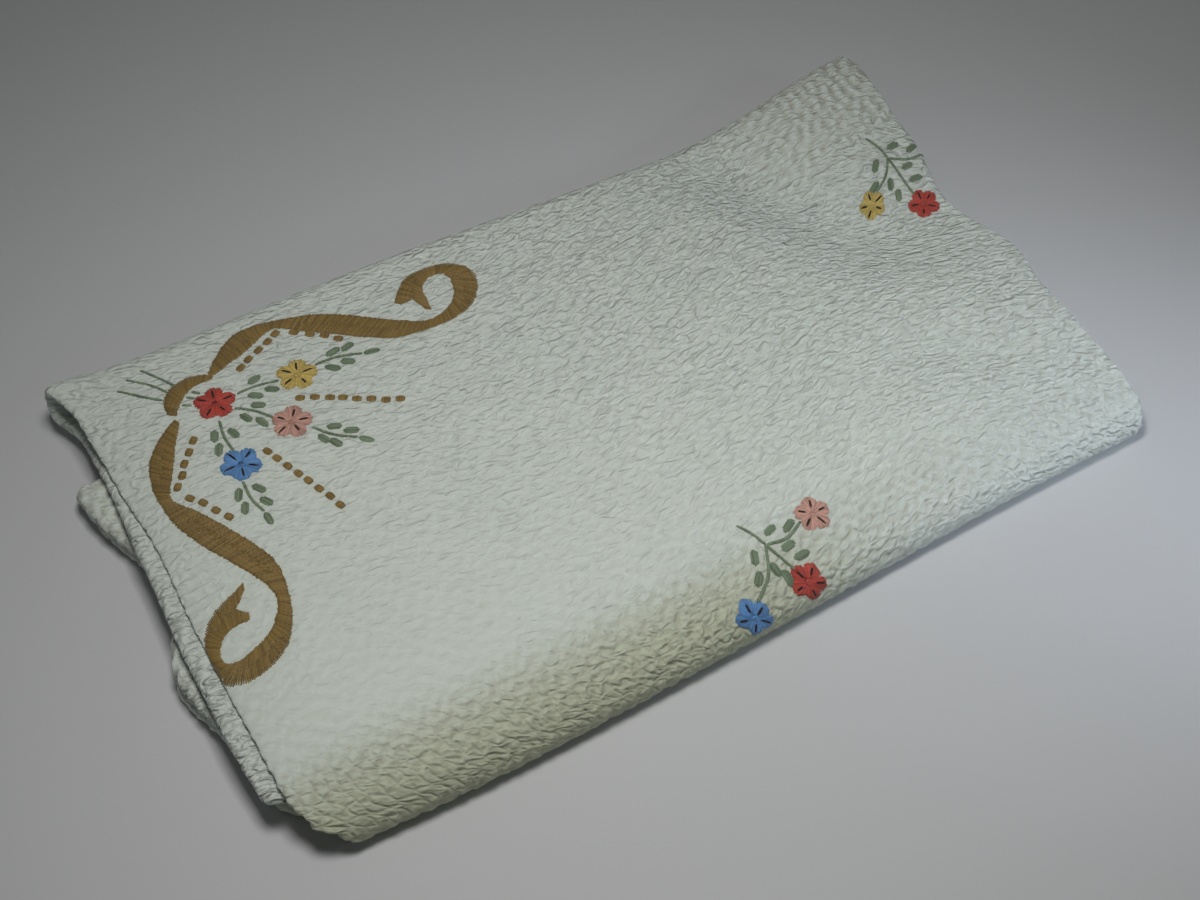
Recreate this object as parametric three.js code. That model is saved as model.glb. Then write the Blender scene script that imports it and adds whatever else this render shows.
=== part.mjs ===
// A pique bedspread put away as a pile: folded in thirds to a long strip, whose ends then turn in
// to meet under a second fold. One piece of cloth, lying on a flat surface.
// Millimetres, +Z up. The pile is longest along X, and its big round fold lies towards -Y.
import * as THREE from 'three';
import { mergeVertices } from 'three/addons/utils/BufferGeometryUtils.js';

// The cloth and the strip that it makes when it is folded in thirds
const CLOTH = 2.4; // thickness with the puckers
const SPACING = 5.6; // from one sheet of the strip to the next
const STRIP_HALF = 400; // half the strip's plain length, before its ends shift
const INNER_HEM = 30; // how far the middle sheet's hem stays inside the left fold
const SINK = 70; // stretch over which the middle sheet sinks to meet the right fold
const LOWER_HEM = 80; // how far the lower sheet's hem stays inside the right fold

// How finely the surface is divided
const SHEET_STEPS = 9; // steps along each sheet of the strip, the first over its pressed left end
const STEP_EASE = 1.35; // how much closer they lie towards the right
const SINK_STEPS = 3;
const FOLD_STEPS = 4; // steps round each end fold
const RUN_STEP = 62; // longest step on a straight run of the course
const BEND_STEP = THREE.MathUtils.degToRad(30); // widest step round a bend of it

// The strip's course through the pile, seen from its end: one row for each corner, with the radius
// of the bend there, where the strip's left and right ends lie along X, the share by which its left end
// is pressed thinner, and how far that end hangs. It starts at one hem inside the front fold, turns at
// the rear, passes over the top, turns round the front, runs along the floor, turns at the lower rear
// fold and comes back to the other hem.
const COURSE = [
  { y: -188, z: 40.5, bend: 0, left: -388, right: 400, press: 0, sag: 0 },
  { y: -120, z: 43.8, bend: 60, left: -391, right: 402, press: -0.1, sag: 0 },
  { y: -40, z: 43.8, bend: 0, left: -391, right: 405, press: -0.1, sag: 0 },
  { y: 60, z: 43.8, bend: 0, left: -387, right: 410, press: -0.1, sag: 0 },
  { y: 150, z: 43.8, bend: 80, left: -383, right: 426, press: 0, sag: 0 },
  { y: 203, z: 26.0, bend: 40, left: -383, right: 440, press: 0, sag: 0 },
  { y: 250, z: 19.5, bend: 18, left: -396, right: 446, press: 0, sag: 0 },
  { y: 250, z: 62.3, bend: 20, left: -393, right: 447, press: 0.2, sag: 1 },
  { y: 200, z: 62.3, bend: 0, left: -379, right: 444, press: 0.45, sag: 5 },
  { y: 140, z: 62.3, bend: 0, left: -376, right: 433, press: 0.5, sag: 6 },
  { y: 60, z: 62.3, bend: 0, left: -377, right: 415, press: 0.5, sag: 6 },
  { y: -30, z: 62.3, bend: 0, left: -379, right: 428, press: 0.5, sag: 6 },
  { y: -80, z: 62.3, bend: 0, left: -380, right: 417, press: 0.5, sag: 6 },
  { y: -140, z: 62.3, bend: 200, left: -381, right: 414, press: 0.5, sag: 6 },
  { y: -194, z: 55.7, bend: 70, left: -379, right: 413, press: 0.45, sag: 4 },
  { y: -219, z: 44.0, bend: 30, left: -368, right: 412, press: 0.35, sag: 2 },
  { y: -228, z: 27.0, bend: 24, left: -350, right: 409, press: 0.1, sag: 1 },
  { y: -228, z: 6.8, bend: 13, left: -336, right: 406, press: 0, sag: 0 },
  { y: -165, z: 6.8, bend: 0, left: -380, right: 400, press: 0, sag: 0 },
  { y: -110, z: 6.8, bend: 0, left: -389, right: 400, press: 0, sag: 0 },
  { y: -40, z: 6.8, bend: 0, left: -405, right: 400, press: 0, sag: 0 },
  { y: 40, z: 6.8, bend: 0, left: -376, right: 400, press: 0, sag: 0 },
  { y: 162, z: 6.8, bend: 9.2, left: -406, right: 400, press: 0, sag: 0 },
  { y: 162, z: 25.3, bend: 9.2, left: -408, right: 400, press: -0.22, sag: 0 },
  { y: 40, z: 25.3, bend: 0, left: -378, right: 400, press: -0.1, sag: 0 },
  { y: -40, z: 25.3, bend: 0, left: -403, right: 400, press: -0.2, sag: 0 },
  { y: -120, z: 25.3, bend: 60, left: -390, right: 400, press: 0, sag: 0 },
  { y: -176, z: 23.0, bend: 0, left: -374, right: 400, press: 0, sag: 0 },
];

// The stretch of the strip's left end that is pressed and hangs
const LEFT_END = { from: 325, to: 398 };

// The pile is thick at the left and settles towards the right by this share of its height
const THINNING = { from: -250, to: 430, share: 0.24 };

// Swells and hollows in the pile: centre, half length, half width, turn in degrees, share of height
const SWELLS = [
  { x: 235, y: 140, along: 100, across: 62, turn: -66, share: -0.1 },
  { x: 330, y: 30, along: 105, across: 62, turn: -16, share: -0.095 },
  { x: 365, y: 170, along: 80, across: 70, turn: 0, share: 0.06 },
  { x: 450, y: 265, along: 80, across: 80, turn: 0, share: 0.08 },
  { x: 345, y: -85, along: 80, across: 55, turn: -37, share: 0.05 },
  { x: -230, y: -245, along: 260, across: 60, turn: 0, share: -0.08 },
];

// Points of the cloth this near to the floor lie on it
const FLOOR_GAP = 0.1;

// How far the rear and front folds stray along Y from a straight line, and where along X
const REAR_STRAY = [
  { x: 470, reach: 130, shift: 19 },
  { x: -405, reach: 60, shift: 16 },
  { x: 170, reach: 190, shift: -10 },
];
const FRONT_STRAY = [
  { x: -400, reach: 130, shift: 10 },
  { x: 260, reach: 190, shift: 4 },
];
const REAR_ZONE = { from: 100, to: 250 };
const FRONT_ZONE = { from: 100, to: 230 };

const { clamp, degToRad, lerp, smoothstep } = THREE.MathUtils;

function bell(distance, reach) {
  return Math.exp(-((distance / reach) ** 2));
}

// Centre line of the strip's section, in X and W, the height across the strip: the middle sheet from
// its hem, the right fold, the upper sheet, the left fold, and the lower sheet to its hem. The three
// sheets have their steps at the same places along X, so they stay apart wherever the pile swells.
function stripLine() {
  const left = -STRIP_HALF + SPACING;
  const right = STRIP_HALF - SPACING;
  const inner = (k) => ((SHEET_STEPS - k) / (SHEET_STEPS - 1)) ** STEP_EASE;
  const along = (k) => (k === 0 ? left : lerp(right - SINK, -LEFT_END.from, inner(k)));
  const sunk = (k) => right - SINK * (1 - k / SINK_STEPS);
  const line = [];
  const add = (x, w) => line.push(new THREE.Vector2(x, w));
  const addFold = (x, side) => {
    for (let k = 1; k < FOLD_STEPS; k++) {
      const angle = (Math.PI * k) / FOLD_STEPS;
      add(x + side * SPACING * Math.sin(angle), -side * SPACING * Math.cos(angle));
    }
  };
  add(left + INNER_HEM, 0);
  for (let k = 1; k <= SHEET_STEPS; k++) add(along(k), 0);
  for (let k = 1; k <= SINK_STEPS; k++) add(sunk(k), -SPACING * smoothstep(k, 0, SINK_STEPS));
  addFold(right, 1);
  for (let k = SINK_STEPS; k > 0; k--) add(sunk(k), SPACING);
  for (let k = SHEET_STEPS; k >= 0; k--) add(along(k), SPACING);
  addFold(left, -1);
  for (let k = 0; k < SHEET_STEPS; k++) add(along(k), -SPACING);
  add(right - LOWER_HEM, -SPACING);
  return line;
}

// Direction across the cloth at each point of that line, half way between its two neighbours
function clothSides(line) {
  return line.map((point, k) => {
    const into = point.clone().sub(line[Math.max(k - 1, 0)]).normalize();
    const out = line[Math.min(k + 1, line.length - 1)].clone().sub(point).normalize();
    const heading = into.add(out).normalize();
    return new THREE.Vector2(-heading.y, heading.x);
  });
}

// Straight runs and round bends through the corners of the course, as stations. Each has its place, the
// direction across the strip, and the row it stands at, as a number with a fraction.
function courseStations(rows) {
  const corners = rows.map((row) => new THREE.Vector2(row.y, row.z));
  const runs = corners.slice(1).map((corner, k) => corner.clone().sub(corners[k]));
  const headings = runs.map((run) => run.clone().normalize());
  const turnAt = (k) => {
    if (k === 0 || k === rows.length - 1) return 0;
    return Math.atan2(headings[k - 1].cross(headings[k]), headings[k - 1].dot(headings[k]));
  };
  const trims = rows.map((row, k) => row.bend * Math.tan(Math.abs(turnAt(k)) / 2));
  const stations = [];
  const addStation = (place, heading, row) => {
    stations.push({ place, across: new THREE.Vector2(heading.y, -heading.x), row });
  };
  headings.forEach((heading, k) => {
    const length = runs[k].length();
    const start = trims[k] / length;
    const end = 1 - trims[k + 1] / length;
    const steps = Math.max(1, Math.ceil(((end - start) * length) / RUN_STEP));
    for (let step = stations.length && trims[k] === 0 ? 1 : 0; step <= steps; step++) {
      const share = lerp(start, end, step / steps);
      addStation(corners[k].clone().addScaledVector(runs[k], share), heading, k + share);
    }
    const turn = turnAt(k + 1);
    const bendSteps = Math.ceil(Math.abs(turn) / BEND_STEP);
    const reach = rows[k + 1].bend * Math.sign(turn);
    const side = new THREE.Vector2(-heading.y, heading.x).multiplyScalar(reach);
    const middle = corners[k].clone().addScaledVector(runs[k], end).add(side);
    const next = k + 1 + (runs[k + 1] ? trims[k + 1] / runs[k + 1].length() : 0);
    for (let step = 1; step < bendSteps; step++) {
      const angle = (turn * step) / bendSteps;
      const spoke = side.clone().negate().rotateAround(new THREE.Vector2(), angle);
      const bent = heading.clone().rotateAround(new THREE.Vector2(), angle);
      addStation(middle.clone().add(spoke), bent, lerp(k + end, next, step / bendSteps));
    }
  });
  return stations;
}

// Value of one column of the course between two rows, eased so that the ends curve smoothly
function columnAt(column, row) {
  const k = Math.min(Math.floor(row), COURSE.length - 2);
  return lerp(COURSE[k][column], COURSE[k + 1][column], smoothstep(row - k, 0, 1));
}

// Lie of the pile at a point: its height is scaled, which keeps the floor side flat, and the rear and
// front folds stray from their lines.
function settle(point) {
  const { x, y } = point;
  let height = 1 - THINNING.share * smoothstep(x, THINNING.from, THINNING.to);
  for (const swell of SWELLS) {
    const turn = degToRad(swell.turn);
    const offset = new THREE.Vector2(x - swell.x, y - swell.y).rotateAround(new THREE.Vector2(), -turn);
    height += swell.share * bell(offset.x, swell.along) * bell(offset.y, swell.across);
  }
  const stray = (rows) => rows.reduce((sum, row) => sum + row.shift * bell(x - row.x, row.reach), 0);
  point.y += stray(REAR_STRAY) * smoothstep(y, REAR_ZONE.from, REAR_ZONE.to);
  point.y += stray(FRONT_STRAY) * smoothstep(-y, FRONT_ZONE.from, FRONT_ZONE.to);
  point.z = point.z < FLOOR_GAP ? 0 : point.z * height;
}

// The folded cloth: a flat sheet with a step for each point of the strip's line and each station of the
// course, whose points are then carried to their places in the pile.
function foldedCloth() {
  const line = stripLine();
  const sides = clothSides(line);
  const stations = courseStations(COURSE);
  const across = line.length - 1;
  const along = stations.length - 1;
  const sheet = new THREE.BoxGeometry(across, CLOTH, along, across, 1, along);
  sheet.translate(across / 2, 0, along / 2);
  const position = sheet.getAttribute('position');
  const point = new THREE.Vector3();
  for (let k = 0; k < position.count; k++) {
    const column = Math.round(position.getX(k));
    const station = stations[Math.round(position.getZ(k))];
    const spot = line[column].clone().addScaledVector(sides[column], position.getY(k));
    const share = clamp((spot.x + STRIP_HALF) / (2 * STRIP_HALF), 0, 1);
    const leftShift = columnAt('left', station.row) + STRIP_HALF;
    const rightShift = columnAt('right', station.row) - STRIP_HALF;
    const atEnd = smoothstep(-spot.x, LEFT_END.from, LEFT_END.to);
    const pressed = spot.y * (1 - columnAt('press', station.row) * atEnd);
    const place = station.place.clone().addScaledVector(station.across, pressed);
    const hang = columnAt('sag', station.row) * atEnd;
    point.set(spot.x + lerp(leftShift, rightShift, share), place.x, place.y - hang);
    settle(point);
    position.setXYZ(k, point.x, point.y, point.z);
  }
  sheet.deleteAttribute('normal');
  sheet.deleteAttribute('uv');
  const cloth = mergeVertices(sheet);
  cloth.computeBoundingBox();
  const centre = cloth.boundingBox.getCenter(new THREE.Vector3());
  cloth.translate(-centre.x, -centre.y, -cloth.boundingBox.min.z);
  cloth.computeVertexNormals();
  return cloth;
}

const pique = new THREE.MeshStandardMaterial({ color: 0xf2f0e4, roughness: 0.92, metalness: 0 });

const bedspread = new THREE.Mesh(foldedCloth(), pique);
bedspread.name = 'bedspread';

const part = new THREE.Group();
part.add(bedspread);

export default part;
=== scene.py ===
"""A folded pique bedspread with satin-stitched flowers, leaves and ribbons.

Tables and functions work in millimetres on the cloth laid flat, as (u, v): u runs along the strip
that is folded in three, and v along the course of the second folding, towards the rear on top.
fold() carries a flat place, lifted off the middle of the cloth, into the folded pile.
"""
import math
from collections import namedtuple

import bpy
import numpy as np
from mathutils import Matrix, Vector


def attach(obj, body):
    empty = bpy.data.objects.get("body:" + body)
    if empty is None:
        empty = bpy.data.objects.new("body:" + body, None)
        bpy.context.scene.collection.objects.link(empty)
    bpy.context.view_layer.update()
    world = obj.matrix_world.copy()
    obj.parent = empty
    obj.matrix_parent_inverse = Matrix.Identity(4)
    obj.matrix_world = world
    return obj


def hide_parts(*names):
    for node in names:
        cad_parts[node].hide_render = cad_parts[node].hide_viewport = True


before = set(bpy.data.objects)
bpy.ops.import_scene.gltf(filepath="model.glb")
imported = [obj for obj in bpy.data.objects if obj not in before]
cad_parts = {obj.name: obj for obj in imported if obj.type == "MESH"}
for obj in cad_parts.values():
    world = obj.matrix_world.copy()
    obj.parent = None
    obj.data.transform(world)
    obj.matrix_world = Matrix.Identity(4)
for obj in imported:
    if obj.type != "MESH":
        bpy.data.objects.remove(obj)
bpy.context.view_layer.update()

# The cloth, and the strip that it is folded into
CLOTH = 2.4
SPACING = 5.6
STRIP_HALF = 400.0
INNER_HEM = 30.0
SINK = 70.0
LOWER_HEM = 80.0

# Corners of the second folding's course, the strip's reach at each, and how its left end is pressed and sags
Corner = namedtuple("Corner", "y z bend left right press sag")
COURSE = [
    Corner(-188, 40.5, 0, -388, 400, 0, 0),
    Corner(-120, 43.8, 60, -391, 402, -0.1, 0),
    Corner(-40, 43.8, 0, -391, 405, -0.1, 0),
    Corner(60, 43.8, 0, -387, 410, -0.1, 0),
    Corner(150, 43.8, 80, -383, 426, 0, 0),
    Corner(203, 26.0, 40, -383, 440, 0, 0),
    Corner(250, 19.5, 18, -396, 446, 0, 0),
    Corner(250, 62.3, 20, -393, 447, 0.25, 2),
    Corner(200, 62.3, 0, -380, 444, 0.5, 6),
    Corner(140, 62.3, 0, -377, 433, 0.6, 7.6),
    Corner(60, 62.3, 0, -372, 415, 0.6, 7.6),
    Corner(-30, 62.3, 0, -375, 428, 0.6, 7.6),
    Corner(-80, 62.3, 0, -375, 417, 0.6, 7.6),
    Corner(-140, 62.3, 200, -374, 414, 0.6, 7),
    Corner(-194, 55.7, 70, -374, 413, 0.5, 4),
    Corner(-219, 44.0, 30, -366, 412, 0.35, 2),
    Corner(-228, 27.0, 24, -350, 409, 0.1, 1),
    Corner(-228, 6.8, 13, -336, 406, 0, 0),
    Corner(-165, 6.8, 0, -380, 400, 0, 0),
    Corner(-110, 6.8, 0, -389, 400, 0, 0),
    Corner(-40, 6.8, 0, -405, 400, 0, 0),
    Corner(40, 6.8, 0, -376, 400, 0, 0),
    Corner(162, 6.8, 9.2, -406, 400, 0, 0),
    Corner(162, 25.3, 9.2, -408, 400, -0.22, 0),
    Corner(40, 25.3, 0, -378, 400, -0.1, 0),
    Corner(-40, 25.3, 0, -403, 400, -0.2, 0),
    Corner(-120, 25.3, 60, -390, 400, 0, 0),
    Corner(-176, 23.0, 0, -374, 400, 0, 0),
]

# Where the left end is pressed and sags, how the hems are rounded and pressed, and a row of the top run
LEFT_END = (325, 398)
SAG_POWER = 3
HEM_ROUND = (13, 11)
HEM_PRESS = 0.55
TOP_ROW = 9

# How the pile thins to the right, and where it swells or sinks
Thinning = namedtuple("Thinning", "start end share")
THINNING = Thinning(-250, 430, 0.24)
Swell = namedtuple("Swell", "x y along across turn share")
SWELLS = [
    Swell(280, 145, 110, 48, -63, -0.27),
    Swell(360, 50, 80, 50, -16, -0.16),
    Swell(315, -108, 60, 26, -37, -0.11),
    Swell(392, 205, 85, 75, 0, 0.15),
    Swell(450, 265, 80, 80, 0, 0.07),
    Swell(345, -85, 80, 55, -37, 0.08),
    Swell(-230, -245, 260, 60, 0, -0.08),
]

# How the pile's rear and front edges wander, and where that starts and is full
Stray = namedtuple("Stray", "x reach shift")
REAR_STRAY = [Stray(470, 130, 19), Stray(-405, 60, 16), Stray(170, 190, -10)]
FRONT_STRAY = [Stray(-400, 130, 10), Stray(260, 190, 4)]
REAR_ZONE = (100, 250)
FRONT_ZONE = (100, 230)

# The puckers woven into the cloth: waves of a length, heading and spread, in degrees from u
PUCKER = 2.3
RISE = 0.5
SHARPNESS = 0.9
Weave = namedtuple("Weave", "shortest longest heading spread depth seed")
TOP_WEAVE = Weave(8, 16, 96, 60, 0.42, 11)
FRONT_WEAVE = Weave(7.5, 12, 92, 65, 1.0, 12)
CORNER_WEAVE = Weave(8.5, 15, -22, 40, 1.1, 13)
WAVES = 64
FRONT_START = (-155, -200)
FRONT_FADE_U = (100, 260)
FRONT_FADE = 0.85
CORNER_START_U = (210, 300)
CORNER_START_V = (110, 190)

# How the lines of the fine crinkles turn along u, in degrees
Turn = namedtuple("Turn", "u turn")
CRINKLE_TURNS = [Turn(-200, -10), Turn(0, 12), Turn(150, 11), Turn(300, -12)]

# Zones of the cloth's mesh along u and v: cells between coarse lines, and steps inside a fine cell
Zone = namedtuple("Zone", "start end cell turn step")
FOLD_ARC = math.pi * SPACING
FOLD_LINE = STRIP_HALF - SPACING
FOLD_END = FOLD_LINE + FOLD_ARC
BAND_REACH = (24, 18)
BAND_IN, BAND_OUT = FOLD_LINE - BAND_REACH[0], FOLD_END + BAND_REACH[1]
TOP_ZONE = (-290, 300)
REAR_NOSE_ZONE = (-698, -616)
HOLLOW_U = 180
HOLLOW_V = (-170, 230)
FADE = 11.0

# How finely lines are sampled, and the least turn that counts as a bend
ARC_POINTS = 60
SINK_POINTS = 140
ZONE_POINTS = 3000
DRIFT_POINTS = 2000
CURVE_POINTS = 24
BOX_POINTS = 900
LEAST_TURN = 1e-9


def ease(x, start, end):
    share = np.clip((x - start) / (end - start), 0, 1)
    return share * share * (3 - 2 * share)


def bell(distance, reach):
    return np.exp(-((distance / reach) ** 2))


def band(x, start, end):
    """1 between start and end, falling softly to 0 at both."""
    return ease(x, start, start + FADE) * (1 - ease(x, end - FADE, end))


def course_line(step=0.5):
    """Distance, y, z, heading and table row along the second folding's course."""
    corners = np.array([(c.y, c.z) for c in COURSE])
    runs = np.diff(corners, axis=0)
    lengths = np.linalg.norm(runs, axis=1)
    headings = np.unwrap(np.arctan2(runs[:, 1], runs[:, 0]))
    turns = np.concatenate([[0], np.diff(headings), [0]])
    trims = np.array([c.bend for c in COURSE]) * np.tan(np.abs(turns) / 2)
    pieces = []
    travelled = 0.0
    for k, (run, length, heading) in enumerate(zip(runs, lengths, headings)):
        straight = length - trims[k] - trims[k + 1]
        along = np.linspace(0, straight, max(2, int(straight / step) + 1))
        share = (trims[k] + along) / length
        place = corners[k] + np.outer(share, run)
        level = np.full(len(along), heading)
        pieces.append((travelled + along, place[:, 0], place[:, 1], level, k + share))
        travelled += straight
        turn, bend = turns[k + 1], COURSE[k + 1].bend
        if abs(turn) < LEAST_TURN:
            continue
        side = math.copysign(bend, turn)
        along = np.linspace(0, abs(turn) * bend, max(2, int(abs(turn) * bend / step) + 1))[1:]
        angle = heading + along / side
        entry = corners[k + 1] - run / length * trims[k + 1]
        y = entry[0] + side * (np.sin(angle) - math.sin(heading))
        z = entry[1] - side * (np.cos(angle) - math.cos(heading))
        first, last = k + 1 - trims[k + 1] / length, k + 1 + trims[k + 1] / lengths[k + 1]
        pieces.append((travelled + along, y, z, angle, first + (last - first) * along / along[-1]))
        travelled += along[-1]
    return [np.concatenate(column) for column in zip(*pieces)]


def strip_line(step=0.5):
    """u, x, height w over the strip's middle, and heading along the strip folded in three."""

    def run(start, end, w):
        x = np.linspace(start, end, int(abs(end - start) / step) + 1)
        return np.stack([x, np.full(len(x), w)], 1)

    def fold_arc(x, side):
        angle = np.linspace(0, math.pi, ARC_POINTS)[1:-1]
        return np.stack([x + side * SPACING * np.sin(angle), -side * SPACING * np.cos(angle)], 1)

    share = np.linspace(0, 1, SINK_POINTS)[1:]
    inner = run(INNER_HEM - FOLD_LINE, FOLD_LINE - SINK, 0)
    sinking = np.stack([FOLD_LINE - SINK * (1 - share), -SPACING * ease(share, 0, 1)], 1)
    right = fold_arc(FOLD_LINE, 1)
    upper = run(FOLD_LINE, -FOLD_LINE, SPACING)
    left = fold_arc(-FOLD_LINE, -1)
    lower = run(-FOLD_LINE, FOLD_LINE - LOWER_HEM, -SPACING)
    line = np.concatenate([inner, sinking, right, upper, left, lower])
    along = np.concatenate([[0], np.cumsum(np.linalg.norm(np.diff(line, axis=0), axis=1))])
    slope = np.gradient(line, along, axis=0)
    heading = np.unwrap(np.arctan2(slope[:, 1], slope[:, 0]))
    start = along[len(inner) + len(sinking) + len(right)]
    return (FOLD_LINE + start - along)[::-1], line[::-1, 0], line[::-1, 1], heading[::-1]


TRAVEL, COURSE_Y, COURSE_Z, COURSE_HEADING, COURSE_ROW = course_line()
STRIP_U, STRIP_X, STRIP_W, STRIP_HEADING = strip_line()
REAR_V = float(np.interp(TOP_ROW, COURSE_ROW, TRAVEL)) + COURSE[TOP_ROW].y
U_ENDS = float(STRIP_U[0]), float(STRIP_U[-1])
V_ENDS = REAR_V - float(TRAVEL[-1]), REAR_V


def eased_column(row, name):
    """A column of COURSE between its rows."""
    values = np.array([getattr(c, name) for c in COURSE], float)
    k = np.clip(np.floor(row).astype(int), 0, len(values) - 2)
    return values[k] + (values[k + 1] - values[k]) * ease(row - k, 0, 1)


def settle(x, y, z):
    """The pile's uneven height, and its wandering front and rear edges."""
    height = 1 - THINNING.share * ease(x, THINNING.start, THINNING.end)
    for s in SWELLS:
        c, n = math.cos(math.radians(s.turn)), math.sin(math.radians(s.turn))
        along, across = (x - s.x) * c + (y - s.y) * n, (y - s.y) * c - (x - s.x) * n
        height = height + s.share * bell(along, s.along) * bell(across, s.across)
    rear = sum(s.shift * bell(x - s.x, s.reach) for s in REAR_STRAY) * ease(y, *REAR_ZONE)
    front = sum(s.shift * bell(x - s.x, s.reach) for s in FRONT_STRAY) * ease(-y, *FRONT_ZONE)
    return np.stack([x, y + rear + front, z * height], -1)


def fold(u, v, lift):
    """Flat places, lifted off the middle of the cloth towards its right side, in the pile."""
    u, v, lift = np.broadcast_arrays(np.asarray(u, float), v, lift)
    slope = np.interp(u, STRIP_U, STRIP_HEADING)
    x = np.interp(u, STRIP_U, STRIP_X) + np.sin(slope) * lift
    w = np.interp(u, STRIP_U, STRIP_W) - np.cos(slope) * lift
    travel = REAR_V - v
    heading = np.interp(travel, TRAVEL, COURSE_HEADING)
    row = np.interp(travel, TRAVEL, COURSE_ROW)
    share = np.clip((x + STRIP_HALF) / (2 * STRIP_HALF), 0, 1)
    to_hem = np.minimum(travel, TRAVEL[-1] - travel)
    rounding = 1 - np.sqrt(1 - np.clip(1 - to_hem / HEM_ROUND[0], 0, 1) ** 2)
    left = eased_column(row, "left") + STRIP_HALF + HEM_ROUND[1] * rounding
    right = eased_column(row, "right") - STRIP_HALF
    at_end = ease(-x, *LEFT_END)
    droop = np.clip((-x - LEFT_END[0]) / (LEFT_END[1] - LEFT_END[0]), 0, 1) ** SAG_POWER
    w = w * (1 - eased_column(row, "press") * at_end) * (1 - HEM_PRESS * rounding)
    y = np.interp(travel, TRAVEL, COURSE_Y) + w * np.sin(heading)
    z = np.interp(travel, TRAVEL, COURSE_Z) - w * np.cos(heading) - eased_column(row, "sag") * droop
    return settle(x + left * (1 - share) + right * share, y, z)


def lines(zones, places, headings):
    """Coarse lines spaced by length and turning, fine lines, and the coarse ones' numbers among them."""
    coarse, fine, marks = [], [], []
    for zone in zones:
        place = np.linspace(zone.start, zone.end, ZONE_POINTS)
        turning = np.abs(np.diff(np.interp(place, places, headings)))
        effort = np.diff(place) / zone.cell + turning / math.radians(zone.turn)
        effort = np.concatenate([[0], np.cumsum(effort)])
        count = max(1, round(effort[-1]))
        stops = np.interp(np.linspace(0, effort[-1], count + 1), effort, place)
        for start, end in zip(stops[:-1], stops[1:]):
            coarse.append(start)
            marks.append(len(fine))
            fine.extend(np.linspace(start, end, max(1, round((end - start) / zone.step)) + 1)[:-1])
    coarse.append(zones[-1].end)
    marks.append(len(fine))
    fine.append(zones[-1].end)
    return np.array(coarse), np.array(fine), marks


U_ZONES = [
    Zone(U_ENDS[0], -BAND_OUT, 30, 40, 30),
    Zone(-BAND_OUT, -FOLD_END, 18, 40, 3),
    Zone(-FOLD_END, -FOLD_LINE, 12, 34, 3),
    Zone(-FOLD_LINE, -BAND_IN, 24, 40, 3),
    Zone(-BAND_IN, HOLLOW_U, 26, 40, 3.2),
    Zone(HOLLOW_U, BAND_IN, 13, 40, 3.2),
    Zone(BAND_IN, FOLD_LINE, 24, 40, 3),
    Zone(FOLD_LINE, FOLD_END, 12, 34, 3),
    Zone(FOLD_END, BAND_OUT, 18, 40, 3),
    Zone(BAND_OUT, FOLD_END + SINK, 18, 10, 30),
    Zone(FOLD_END + SINK, U_ENDS[1], 30, 40, 30),
]
V_ZONES = [
    Zone(V_ENDS[0], REAR_NOSE_ZONE[0], 22, 16, 4.2),
    Zone(*REAR_NOSE_ZONE, 24, 16, 4),
    Zone(REAR_NOSE_ZONE[1], TOP_ZONE[0], 22, 16, 4.2),
    Zone(TOP_ZONE[0], HOLLOW_V[0], 26, 22, 2.85),
    Zone(*HOLLOW_V, 13.5, 22, 2.85),
    Zone(HOLLOW_V[1], TOP_ZONE[1], 26, 22, 2.85),
    Zone(TOP_ZONE[1], V_ENDS[1], 30, 16, 4.2),
]


def wave_field(weave, u, v):
    """An even random sum of waves, of about unit size."""
    pick = np.random.default_rng(weave.seed)
    heading = np.radians(weave.heading + weave.spread * pick.uniform(-1, 1, WAVES))
    number = 2 * math.pi / pick.uniform(weave.shortest, weave.longest, WAVES)
    phase = pick.uniform(0, 2 * math.pi, WAVES)
    total = np.zeros(np.shape(u))
    for h, n, p in zip(heading, number, phase):
        total += np.cos(n * (math.cos(h) * u + math.sin(h) * v) + p)
    return total * math.sqrt(2 / WAVES)


def pucker_height(u, v):
    """Height of the puckers from 0 in the creases between them to 1 on their tops."""
    front = ease(-v, -FRONT_START[0], -FRONT_START[1]) * (1 - FRONT_FADE * ease(u, *FRONT_FADE_U))
    corner = ease(u, *CORNER_START_U) * ease(v, *CORNER_START_V)
    top = (1 - front) * (1 - corner)
    waves = (
        top * wave_field(TOP_WEAVE, u, v)
        + front * wave_field(FRONT_WEAVE, u, v)
        + corner * wave_field(CORNER_WEAVE, u, v)
    ) / np.sqrt(top**2 + front**2 + corner**2)
    depth = top * TOP_WEAVE.depth + front * FRONT_WEAVE.depth + corner * CORNER_WEAVE.depth
    return 1 - depth * (0.5 - 0.5 * np.tanh(SHARPNESS * waves))


def pucker_share(u, v):
    """Where the puckers are modelled: the faces that show, and the folds at both ends."""
    ends = np.maximum(band(u, -BAND_OUT, -BAND_IN), band(u, BAND_IN, BAND_OUT))
    upper = band(u, -BAND_OUT, BAND_OUT)
    return np.maximum(ends, upper * np.maximum(band(v, *TOP_ZONE), band(v, *REAR_NOSE_ZONE)))


def crinkle_map(flat):
    """The flat cloth, sheared along v so that straight lines turn as the crinkles do."""
    u = np.linspace(*U_ENDS, DRIFT_POINTS)
    slope = np.tan(np.radians(np.interp(u, *zip(*CRINKLE_TURNS))))
    drift = np.cumsum(slope) * (u[1] - u[0])
    return np.stack([flat[:, 0], flat[:, 1] - np.interp(flat[:, 0], u, drift)], 1)


# Embroidery: charts in a motif's own frame, along its axis and across it
Place = namedtuple("Place", "u v axis")
Ribbon = namedtuple("Ribbon", "along across width")
Bloom = namedtuple("Bloom", "along across thread size")
Leaf = namedtuple("Leaf", "along across turn")
Stem = namedtuple("Stem", "along across end_along end_across bow leaves tip")
DashRow = namedtuple("DashRow", "along across end_along end_across count")

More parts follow.
